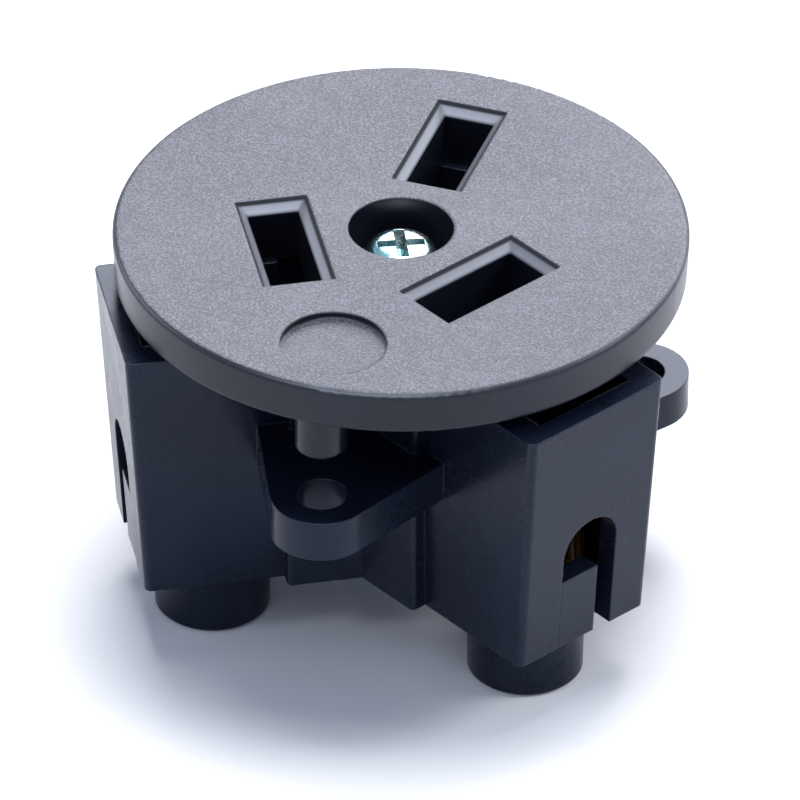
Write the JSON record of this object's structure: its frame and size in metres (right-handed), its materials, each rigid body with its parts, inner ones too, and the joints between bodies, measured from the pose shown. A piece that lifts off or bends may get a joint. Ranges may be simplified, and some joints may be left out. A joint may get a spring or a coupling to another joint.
{
  "type": "three-pin power socket insert",
  "caption": "Round-faced power socket insert for plugs with flat pins at 120 degrees, with a three-armed terminal housing clamped under a panel by a centre screw.",
  "frame": {"origin": "centre of the cover's underside, the plane that sits on the panel", "axes": "+Z out of the panel towards the user, +Y from the centre towards the earth slot"},
  "size_m": [0.04, 0.0437, 0.029],
  "materials": {
    "cover_plastic": "charcoal moulded plastic with a fine spark-eroded grain",
    "housing_plastic": "black moulded plastic, satin",
    "zinc_plate": "steel with bright zinc plating",
    "contact_brass": "stamped and folded brass, plain",
    "spring_steel": "hardened steel strip"
  },
  "bodies": {
    "root": {"front_cover": "cover_plastic", "base_housing": "housing_plastic", "bottom_cover": "housing_plastic", "centre_screw": "zinc_plate", "centre_nut": "zinc_plate", "live_contact": "contact_brass", "live_spring_clip": "spring_steel", "live_clamp": "contact_brass", "live_press_plate": "zinc_plate", "live_terminal_screw": "zinc_plate", "neutral_contact": "contact_brass", "neutral_spring_clip": "spring_steel", "neutral_clamp": "contact_brass", "neutral_press_plate": "zinc_plate", "neutral_terminal_screw": "zinc_plate", "earth_contact": "contact_brass", "earth_spring_clip": "spring_steel", "earth_clamp": "contact_brass", "earth_press_plate": "zinc_plate", "earth_terminal_screw": "zinc_plate"}
  },
  "joints": []
}
